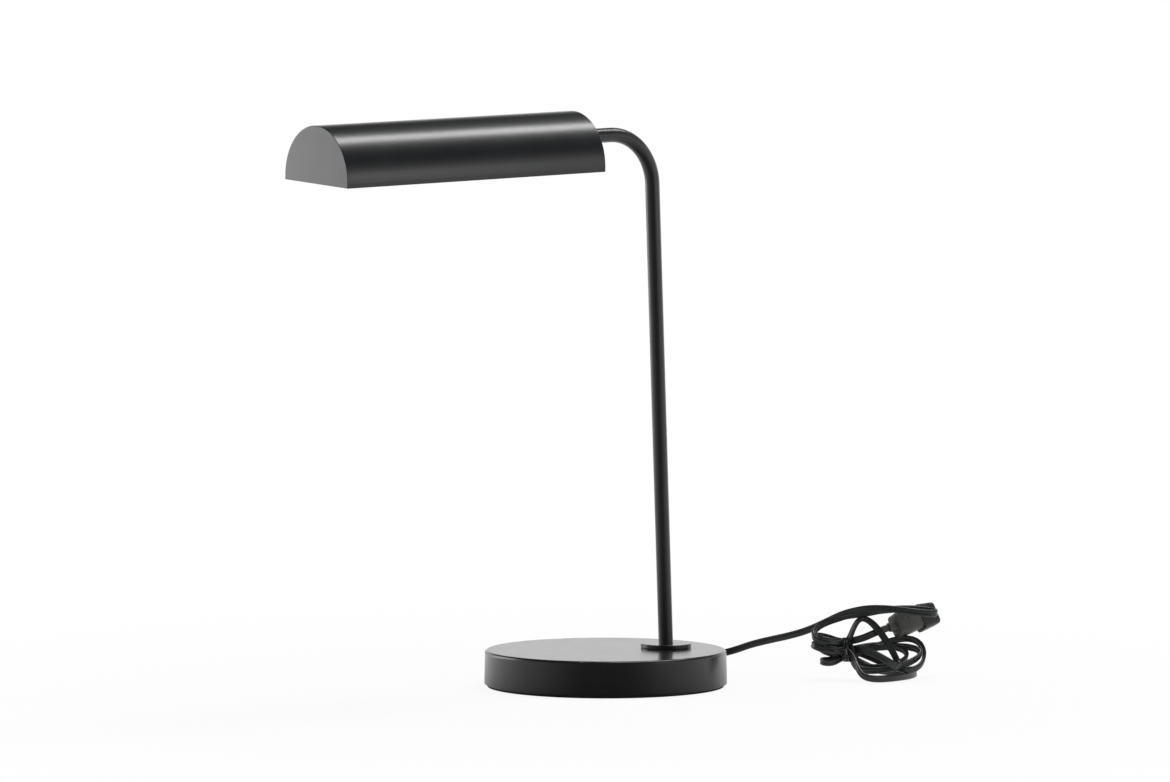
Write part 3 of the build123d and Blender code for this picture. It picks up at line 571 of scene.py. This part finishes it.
def box_ring(half_width, half_thickness, rounding):
    """Outline of a section with rounded corners, as (through the thickness, across the width)."""
    ring = []
    for quarter, (side, edge) in enumerate(((1, 1), (-1, 1), (-1, -1), (1, -1))):
        through, across = side * (half_thickness - rounding), edge * (half_width - rounding)
        for step in range(CORNER_STEPS + 1):
            angle = pi / 2 * (quarter + step / CORNER_STEPS)
            ring.append((through + rounding * cos(angle), across + rounding * sin(angle)))
        # the straight side from this corner to the next
        steps = WIDE_STEPS if quarter % 2 else NARROW_STEPS
        last = ring[-1]
        run = 2 * (half_width - rounding) if quarter % 2 else 2 * (half_thickness - rounding)
        way = ((-1, 0), (0, -1), (1, 0), (0, 1))[quarter]
        for step in range(1, steps):
            part = run * step / steps
            ring.append((last[0] + way[0] * part, last[1] + way[1] * part))
    return ring


def section_at(stations, along):
    """Half width and half thickness at a place between the stations."""
    for first, second in zip(stations, stations[1:]):
        if along <= second[0]:
            share = max(0.0, (along - first[0]) / (second[0] - first[0]))
            return [low + (high - low) * share for low, high in zip(first[1:], second[1:])]
    return list(stations[-1][1:])


def groove_at(along):
    """Depth of the grooves between the ribs."""
    for number in range(GROOVE_COUNT):
        offset = along - GROOVE_START - GROOVE_PITCH * number
        if abs(offset) < GROOVE_REACH:
            return GROOVE_DEPTH * cos(pi / 2 * offset / GROOVE_REACH) ** GROOVE_FULLNESS
    return 0.0


def dimple_at(along, across):
    away = sqrt((along - DIMPLE_ALONG) ** 2 + (across - DIMPLE_ACROSS) ** 2) / DIMPLE_RADIUS
    return DIMPLE_DEPTH * max(0.0, 1 - away * away)


def soft_box(name, stations, rounding, edges, detailed=False):
    """Moulded form along the plug's axis; where 'detailed', it has grooves and a dimple."""
    start, stop = stations[0][0], stations[-1][0]
    rear_edge, front_edge = edges
    count = round((stop - start) / RING_PITCH)
    places = {start + (stop - start) * number / count for number in range(count + 1)}
    for angle in EDGE_ANGLES:
        rise = 1 - cos(radians(angle))
        places |= {start + rear_edge * rise, stop - front_edge * rise}
    vertices = []
    for along in sorted(places):
        half_width, half_thickness = section_at(stations, along)
        sunk = groove_at(along) if detailed else 0.0
        for edge, depth in ((rear_edge, along - start), (front_edge, stop - along)):
            if depth < edge:
                sunk += edge - sqrt(max(0.0, edge * edge - (edge - depth) ** 2))
        ring = box_ring(half_width - sunk, half_thickness - sunk, rounding - sunk / 2)
        for through, across in ring:
            if detailed and through > 0:
                through -= dimple_at(along, across)
            vertices.append(Vector((along, across, through)))
    mesh = solid_mesh(name, vertices, skin(vertices, len(vertices) // len(places)))
    mesh.transform(Matrix.Scale(MM, 4) @ PLUG @ Matrix.Rotation(radians(PLUG_ROLL), 4, "X"))
    return mesh


def add_plug():
    body = soft_box("plug_moulding", PLUG_STATIONS, PLUG_ROUNDING, PLUG_EDGES, detailed=True)
    sleeve = soft_box("plug_sleeve", SLEEVE_STATIONS, SLEEVE_ROUNDING, SLEEVE_EDGES)
    cover = soft_box("blade_cap", CAP_STATIONS, PLUG_ROUNDING, CAP_EDGES)
    both = bmesh.new()
    both.from_mesh(body)
    both.from_mesh(sleeve)
    both.to_mesh(body)
    both.free()
    moulding = add_piece("plug_moulding", body, PLUG_VINYL, "base")
    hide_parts("plug_body")
    cap = add_piece("blade_cap", cover, CAP_VINYL, "base")
    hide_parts("plug_cover")
    return moulding, cap


# ---------------------------------------------------------------- power cord
def add_cord():
    points = spline_line("cord_line", cord_route(), SPAN_STEPS)
    directions = line_directions(points)
    widths = flat_widths(points, directions, UPRIGHT_PULL, WIDTH_EASING)
    profile = two_core_profile()
    vertices, faces = bar(points, directions, widths, profile)
    mesh = bpy.data.meshes.new("power_cord")
    mesh.from_pydata([tuple(vertex) for vertex in vertices], [], faces)
    length = [0.0]
    for before, after in zip(points, points[1:]):
        length.append(length[-1] + (after - before).length)
    chart = mesh.uv_layers.new(name="along")
    for loop in mesh.loops:
        ring, side = divmod(loop.vertex_index, len(profile))
        chart.data[loop.index].uv = (length[ring], side * CORD_WIDTH * MM / len(profile))
    cord = add_piece("power_cord", mesh, CORD, "base")
    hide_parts("cord_lead", "cord_bundle", "cord_tail")
    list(add_plug())
    add_tie()


add_cord()

# ---------------------------------------------------------------- inside of the lamp
# Distances along the arm are from the shade's rear face, heights and drops from the arm's axis
MOUNT_START, MOUNT_END = 60.0, 80.0     # glass stem
FILAMENT_START, FILAMENT_END = 88.0, 196.0
FILAMENT_DROP = 3.0
COIL_RADIUS, COIL_PITCH, COIL_WIRE = 0.55, 0.9, 0.14
COIL_STEPS, COIL_SIDES = 10, 5          # points to each turn, and round the wire
HOOK_COUNT, HOOK_WIRE = 4, 0.25
EYE_STEPS, HOOK_SIDES = 12, 6
RETURN_HEIGHT = 4.5                     # of the wire that runs above the filament to its far end
LEAD_WIRE = 0.35
WIRE_SPAN_STEPS, WIRE_SIDES, WIRE_PULL, WIRE_EASING = 8, 8, 1.0, 4
# Ways of the two wires, as (along, across, up)
NEAR_WIRE = [
    (MOUNT_START + 6, 0, -1.2), (MOUNT_END, 0, -1.4),
    (MOUNT_END + 4, 0, -FILAMENT_DROP), (FILAMENT_START, 0, -FILAMENT_DROP),
]
FAR_WIRE = [
    (MOUNT_START + 6, 0, 1.2), (MOUNT_END, 0, 1.4), (MOUNT_END + 6, 0, RETURN_HEIGHT),
    (FILAMENT_END - 6, 0, RETURN_HEIGHT), (FILAMENT_END + 5, 0, RETURN_HEIGHT),
    (FILAMENT_END + 5, 0, -FILAMENT_DROP), (FILAMENT_END, 0, -FILAMENT_DROP),
]
# Stations of the glass stem: half depth, half height, and distance along
MOUNT_STATIONS = [
    (5.6, 5.6, MOUNT_START), (4.0, 4.0, MOUNT_START + 2), (3.0, 3.0, MOUNT_START + 6),
    (2.7, 2.7, MOUNT_END - 8), (1.5, 3.2, MOUNT_END - 3), (1.4, 3.2, MOUNT_END),
]
MOUNT_SIDES = 24


def node_tree(name, inputs):
    """Geometry-nodes tree with named inputs that ends in Realize Instances and Set Material."""
    tree = bpy.data.node_groups.new(name, "GeometryNodeTree")
    tree.interface.new_socket("Geometry", in_out="OUTPUT", socket_type="NodeSocketGeometry")
    for label, kind in inputs:
        tree.interface.new_socket(label, in_out="INPUT", socket_type=kind)
    tree.interface.new_socket("Finish", in_out="INPUT", socket_type="NodeSocketMaterial")
    entry = tree.nodes.new("NodeGroupInput")
    real = tree.nodes.new("GeometryNodeRealizeInstances")
    finish = tree.nodes.new("GeometryNodeSetMaterial")
    leave = tree.nodes.new("NodeGroupOutput")
    tree.links.new(real.outputs["Geometry"], finish.inputs["Geometry"])
    tree.links.new(entry.outputs["Finish"], finish.inputs["Material"])
    tree.links.new(finish.outputs["Geometry"], leave.inputs["Geometry"])
    return tree, entry, real


def link_all(tree, pairs):
    for source, target in pairs:
        tree.links.new(source, target)


def wire_helix():
    """Coil of wire along Z."""
    labels = "Coil radius", "Length", "Turns", "Wire radius"
    sizes = [(label, "NodeSocketFloat") for label in labels]
    tree, entry, real = node_tree("wire_helix", sizes)
    spiral = tree.nodes.new("GeometryNodeCurveSpiral")
    spiral.inputs["Resolution"].default_value = COIL_STEPS
    section = tree.nodes.new("GeometryNodeCurvePrimitiveCircle")
    section.inputs["Resolution"].default_value = COIL_SIDES
    wire = tree.nodes.new("GeometryNodeCurveToMesh")
    wire.inputs["Fill Caps"].default_value = True
    link_all(tree, [
        (entry.outputs["Coil radius"], spiral.inputs["Start Radius"]),
        (entry.outputs["Coil radius"], spiral.inputs["End Radius"]),
        (entry.outputs["Length"], spiral.inputs["Height"]),
        (entry.outputs["Turns"], spiral.inputs["Rotations"]),
        (entry.outputs["Wire radius"], section.inputs["Radius"]),
        (spiral.outputs["Curve"], wire.inputs["Curve"]),
        (section.outputs["Curve"], wire.inputs["Profile Curve"]),
        (wire.outputs["Mesh"], real.inputs["Geometry"]),
    ])
    return tree


def hook_row():
    """Row of wire hooks along X: a shank that hangs from the row and an eye round its lower end."""
    labels = "Length", "Shank", "Eye radius", "Wire radius"
    sizes = [("Count", "NodeSocketInt"), *((label, "NodeSocketFloat") for label in labels)]
    tree, entry, real = node_tree("hook_row", sizes)
    row = tree.nodes.new("GeometryNodeCurvePrimitiveLine")
    place = tree.nodes.new("ShaderNodeCombineXYZ")
    spots = tree.nodes.new("GeometryNodeCurveToPoints")
    section = tree.nodes.new("GeometryNodeCurvePrimitiveCircle")
    section.inputs["Resolution"].default_value = HOOK_SIDES
    shank = tree.nodes.new("GeometryNodeCurvePrimitiveLine")
    eye = tree.nodes.new("GeometryNodeCurvePrimitiveCircle")
    eye.inputs["Resolution"].default_value = EYE_STEPS
    turned = tree.nodes.new("GeometryNodeTransform")
    turned.inputs["Rotation"].default_value = (0, pi / 2, 0)
    drop = tree.nodes.new("ShaderNodeMath")
    drop.operation = "MULTIPLY"
    drop.inputs[1].default_value = -1
    low = tree.nodes.new("ShaderNodeCombineXYZ")
    both = tree.nodes.new("GeometryNodeJoinGeometry")
    wire = tree.nodes.new("GeometryNodeCurveToMesh")
    wire.inputs["Fill Caps"].default_value = True
    hooks = tree.nodes.new("GeometryNodeInstanceOnPoints")
    link_all(tree, [
        (entry.outputs["Length"], place.inputs["X"]),
        (place.outputs["Vector"], row.inputs["End"]),
        (row.outputs["Curve"], spots.inputs["Curve"]),
        (entry.outputs["Count"], spots.inputs["Count"]),
        (entry.outputs["Shank"], drop.inputs[0]),
        (drop.outputs["Value"], low.inputs["Z"]),
        (low.outputs["Vector"], shank.inputs["End"]),
        (entry.outputs["Eye radius"], eye.inputs["Radius"]),
        (eye.outputs["Curve"], turned.inputs["Geometry"]),
        (low.outputs["Vector"], turned.inputs["Translation"]),
        (shank.outputs["Curve"], both.inputs["Geometry"]),
        (turned.outputs["Geometry"], both.inputs["Geometry"]),
        (entry.outputs["Wire radius"], section.inputs["Radius"]),
        (both.outputs["Geometry"], wire.inputs["Curve"]),
        (section.outputs["Curve"], wire.inputs["Profile Curve"]),
        (spots.outputs["Points"], hooks.inputs["Points"]),
        (wire.outputs["Mesh"], hooks.inputs["Instance"]),
        (hooks.outputs["Instances"], real.inputs["Geometry"]),
    ])
    return tree


def grown_mesh(name, tree, values):
    """Plain mesh that a geometry-nodes tree makes from named values."""
    holder = bpy.data.objects.new(name, bpy.data.meshes.new(name))
    bpy.context.scene.collection.objects.link(holder)
    modifier = holder.modifiers.new(name, "NODES")
    modifier.node_group = tree
    for socket in tree.interface.items_tree:
        if socket.in_out == "INPUT":
            modifier[socket.identifier] = values[socket.name]
    graph = bpy.context.evaluated_depsgraph_get()
    mesh = bpy.data.meshes.new_from_object(holder.evaluated_get(graph), depsgraph=graph)
    holder.modifiers.clear()
    bpy.data.objects.remove(holder)
    return mesh


def add_filament():
    length = FILAMENT_END - FILAMENT_START
    mesh = grown_mesh("lamp_filament", wire_helix(), {
        "Coil radius": COIL_RADIUS, "Length": length, "Turns": length / COIL_PITCH,
        "Wire radius": COIL_WIRE, "Finish": TUNGSTEN,
    })
    place = Matrix.Translation((FILAMENT_START, 0, -FILAMENT_DROP))
    mesh.transform(Matrix.Scale(MM, 4) @ ARM @ place @ Matrix.Rotation(pi / 2, 4, "Y"))
    add_piece("lamp_filament", mesh, TUNGSTEN, "stem")


def add_filament_hooks():
    step = (FILAMENT_END - FILAMENT_START) / (HOOK_COUNT + 1)
    mesh = grown_mesh("filament_hooks", hook_row(), {
        "Count": HOOK_COUNT, "Length": step * (HOOK_COUNT - 1), "Wire radius": HOOK_WIRE,
        "Shank": RETURN_HEIGHT + FILAMENT_DROP, "Eye radius": COIL_RADIUS + HOOK_WIRE,
        "Finish": NICKEL,
    })
    place = Matrix.Translation((FILAMENT_START + step, 0, RETURN_HEIGHT))
    mesh.transform(Matrix.Scale(MM, 4) @ ARM @ place)
    add_piece("filament_hooks", mesh, NICKEL, "stem")


def wire_bar(places):
    """Round wire along a smooth line through the lamp, in the arm's millimetres."""
    points = spline_line("wire_line", [Vector(place) for place in places], WIRE_SPAN_STEPS)
    directions = line_directions(points)
    widths = flat_widths(points, directions, WIRE_PULL, WIRE_EASING)
    return bar(points, directions, widths, round_profile(LEAD_WIRE, WIRE_SIDES))


def add_lead_wires():
    """The wire to the filament's near end, and the one that runs above it to the far end."""
    mesh = joined_bars("lamp_lead_wires", [wire_bar(NEAR_WIRE), wire_bar(FAR_WIRE)])
    mesh.transform(Matrix.Scale(MM, 4) @ ARM)
    add_piece("lamp_lead_wires", mesh, NICKEL, "stem")


def add_glass_stem():
    """Flared glass stem that carries the wires, pinched flat at its end."""
    vertices = []
    circle = round_profile(1, MOUNT_SIDES)
    for across, upright, along in MOUNT_STATIONS:
        vertices += [Vector((along, across * y, upright * z)) for y, z in circle]
    mesh = solid_mesh("lamp_glass_stem", vertices, skin(vertices, MOUNT_SIDES))
    mesh.transform(Matrix.Scale(MM, 4) @ ARM)
    add_piece("lamp_glass_stem", mesh, GLASS, "stem")


add_filament()
add_filament_hooks()
add_lead_wires()
add_glass_stem()

# ---------------------------------------------------------------- floor, light and camera
CAMERA_PLACE = (-3.0308, -3.8766, 0.5313)
CAMERA_TURN = (radians(90 - 3.352), 0, radians(-37.821))
CAMERA_LENS, SENSOR_WIDTH = 184.615, 36
CAMERA_REACH = 50
# The floor lies just under the lamp, so that their faces don't meet
FLOOR_RADIUS, FLOOR_SIDES, FLOOR_LEVEL = 7.0, 96, -0.0003
PAPER_GREY = 0.9
SHADOW_NEAR, SHADOW_FAR = 0.25, 0.8     # the floor's shade fades out between these distances
SHADOW_SHARE = 0.1
# Painted shadow: in reflections the floor's glow is dimmed round the lamp's foot, and full again from
# the second distance
PAINTED_SHADOW_NEAR, PAINTED_SHADOW_FAR, PAINTED_SHADOW_LOW = 0.1, 0.45, 0.5
DARK_SIDE = (-0.613, -0.790, 0)         # where the studio has no white walls
# Brightness of the white walls and floor in reflections, by how far they lie towards the dark side
WALL_STOPS = ((0.42, 1.0), (0.55, 0.87), (0.75, 0.72), (0.88, 0.4), (0.97, 0.1))
WALL_TOP, CEILING_START = 0.2, 0.42     # heights in the view, from level (0) to straight up (1)
CEILING_DIM = 0.05
WORLD_LEVEL = 0.45                      # brightness of the world as a light
# Name, place, what it faces, width and length, and radiance
SOFTBOXES = [
    ("overhead_strip", (0.7, -0.045, 1.66), (0.7, -0.045, 0), (1.4, 0.32), 10.3),
    ("left_softbox", (-0.74, 1.26, 0.55), (-0.3, -0.02, 0.4), (0.8, 0.8), 2.95),
    ("right_softbox", (0.45, -1.3, 0.5), (-0.2, -0.02, 0.4), (0.6, 0.4), 1.5),
]


def add_camera():
    data = bpy.data.cameras.new("camera")
    data.sensor_width = SENSOR_WIDTH
    data.lens = CAMERA_LENS
    data.clip_end = CAMERA_REACH
    camera = bpy.data.objects.new("camera", data)
    camera.location = CAMERA_PLACE
    camera.rotation_euler = CAMERA_TURN
    bpy.context.scene.collection.objects.link(camera)
    bpy.context.scene.camera = camera


def add_softbox(name, place, aim, size, radiance):
    """Rectangular light at 'place' that faces 'aim'; its power gives the radiance."""
    data = bpy.data.lights.new(name, "AREA")
    data.shape = "RECTANGLE"
    data.size, data.size_y = size
    data.energy = radiance * pi * size[0] * size[1]
    light = bpy.data.objects.new(name, data)
    light.location = place
    light.visible_camera = False
    light.rotation_euler = (Vector(aim) - Vector(place)).to_track_quat("-Z", "Y").to_euler()
    bpy.context.scene.collection.objects.link(light)


class Stage:
    """Node work shared by the floor and the walls."""

    def __init__(self, tree):
        self.tree = tree
        rays = self.rays = self.node("ShaderNodeLightPath").outputs
        self.seen = self.maths("MAXIMUM", rays["Is Camera Ray"], rays["Is Transmission Ray"])

    def node(self, kind, **sockets):
        node = self.tree.nodes.new(kind)
        for name, value in sockets.items():
            node.inputs[name.replace("_", " ")].default_value = value
        return node

    def maths(self, operation, first, second):
        node = self.tree.nodes.new("ShaderNodeMath")
        node.operation = operation
        for socket, value in zip(node.inputs, (first, second)):
            if isinstance(value, float):
                socket.default_value = value
            else:
                self.tree.links.new(value, socket)
        return node.outputs[0]

    def fade(self, value, start, stop, first, last):
        limits = {"From_Min": start, "From_Max": stop, "To_Min": first, "To_Max": last}
        node = self.node("ShaderNodeMapRange", **limits)
        self.tree.links.new(value, node.inputs["Value"])
        return node.outputs["Result"]

    def blend(self, share, first, last):
        """'first' where the share is 0 and 'last' where it is 1."""
        node = self.node("ShaderNodeMix")
        for socket, value in zip(("Factor", *MIX_VALUES), (share, first, last)):
            if isinstance(value, float):
                node.inputs[socket].default_value = value
            else:
                self.tree.links.new(value, node.inputs[socket])
        return node.outputs[MIXED_VALUE]

    def walls(self, direction):
        """Brightness of the studio in this level direction."""
        flat = self.tree.nodes.new("ShaderNodeVectorMath")
        flat.operation = "MULTIPLY"
        flat.inputs[1].default_value = (1, 1, 0)
        level = self.tree.nodes.new("ShaderNodeVectorMath")
        level.operation = "NORMALIZE"
        towards = self.tree.nodes.new("ShaderNodeVectorMath")
        towards.operation = "DOT_PRODUCT"
        towards.inputs[1].default_value = DARK_SIDE
        ramp = self.tree.nodes.new("ShaderNodeValToRGB")
        stops = ramp.color_ramp.elements
        while len(stops) < len(WALL_STOPS):
            stops.new(0.5)
        for stop, (position, grey) in zip(stops, WALL_STOPS):
            stop.position = position
            stop.color = (grey, grey, grey, 1)
        self.tree.links.new(direction, flat.inputs[0])
        self.tree.links.new(flat.outputs[0], level.inputs[0])
        self.tree.links.new(level.outputs[0], towards.inputs[0])
        self.tree.links.new(self.fade(towards.outputs["Value"], -1, 1, 0, 1), ramp.inputs["Fac"])
        return ramp.outputs["Color"]


def add_floor():
    """White paper; the eye sees it white, with the lamp's faint shadow near its middle."""
    mesh = bpy.data.meshes.new("floor")
    work = bmesh.new()
    bmesh.ops.create_circle(work, cap_ends=True, radius=FLOOR_RADIUS, segments=FLOOR_SIDES)
    work.to_mesh(mesh)
    work.free()
    floor = bpy.data.objects.new("floor", mesh)
    floor.location = (0, 0, FLOOR_LEVEL)
    bpy.context.scene.collection.objects.link(floor)
    paper = bpy.data.materials.new("white_paper")
    paper.use_nodes = True
    tree = paper.node_tree
    tree.nodes.clear()
    stage = Stage(tree)
    place = stage.node("ShaderNodeTexCoord").outputs["Object"]
    distance = tree.nodes.new("ShaderNodeVectorMath")
    distance.operation = "LENGTH"
    tree.links.new(place, distance.inputs[0])
    white = stage.fade(distance.outputs["Value"], SHADOW_NEAR, SHADOW_FAR, 1 - SHADOW_SHARE, 1)
    share = stage.blend(stage.seen, stage.rays["Is Glossy Ray"], white)
    glow = tree.nodes.new("ShaderNodeEmission")
    # painted shadow: the floor's glow in reflections is dimmed round the lamp's foot
    painted_shadow = stage.fade(distance.outputs["Value"], PAINTED_SHADOW_NEAR, PAINTED_SHADOW_FAR, PAINTED_SHADOW_LOW, 1)
    # painted shade: in reflections the floor glows dimmer towards the studio's dark side
    reflected = stage.maths("MULTIPLY", stage.walls(place), painted_shadow)
    tree.links.new(stage.blend(stage.seen, reflected, 1.0), glow.inputs["Strength"])
    surface = stage.node("ShaderNodeBsdfDiffuse", Color=(PAPER_GREY, PAPER_GREY, PAPER_GREY, 1))
    mix = tree.nodes.new("ShaderNodeMixShader")
    output = tree.nodes.new("ShaderNodeOutputMaterial")
    tree.links.new(share, mix.inputs[0])
    tree.links.new(surface.outputs[0], mix.inputs[1])
    tree.links.new(glow.outputs[0], mix.inputs[2])
    tree.links.new(mix.outputs[0], output.inputs[0])
    mesh.materials.append(paper)


def add_world():
    """White to the eye; in reflections white walls under a dim ceiling; plainer as a light."""
    world = bpy.data.worlds.new("studio")
    bpy.context.scene.world = world
    world.use_nodes = True
    tree = world.node_tree
    stage = Stage(tree)
    direction = stage.node("ShaderNodeTexCoord").outputs["Generated"]
    split = tree.nodes.new("ShaderNodeSeparateXYZ")
    tree.links.new(direction, split.inputs[0])
    height = stage.fade(split.outputs["Z"], WALL_TOP, CEILING_START, 1, 0)
    walls = stage.blend(height, CEILING_DIM, stage.walls(direction))
    light = stage.blend(stage.rays["Is Glossy Ray"], WORLD_LEVEL, walls)
    background = tree.nodes["Background"]
    background.inputs["Color"].default_value = (1, 1, 1, 1)
    tree.links.new(stage.blend(stage.seen, light, 1.0), background.inputs["Strength"])


add_camera()
add_floor()
add_world()
for softbox in SOFTBOXES:
    add_softbox(*softbox)
bpy.context.scene.view_settings.view_transform = "Standard"
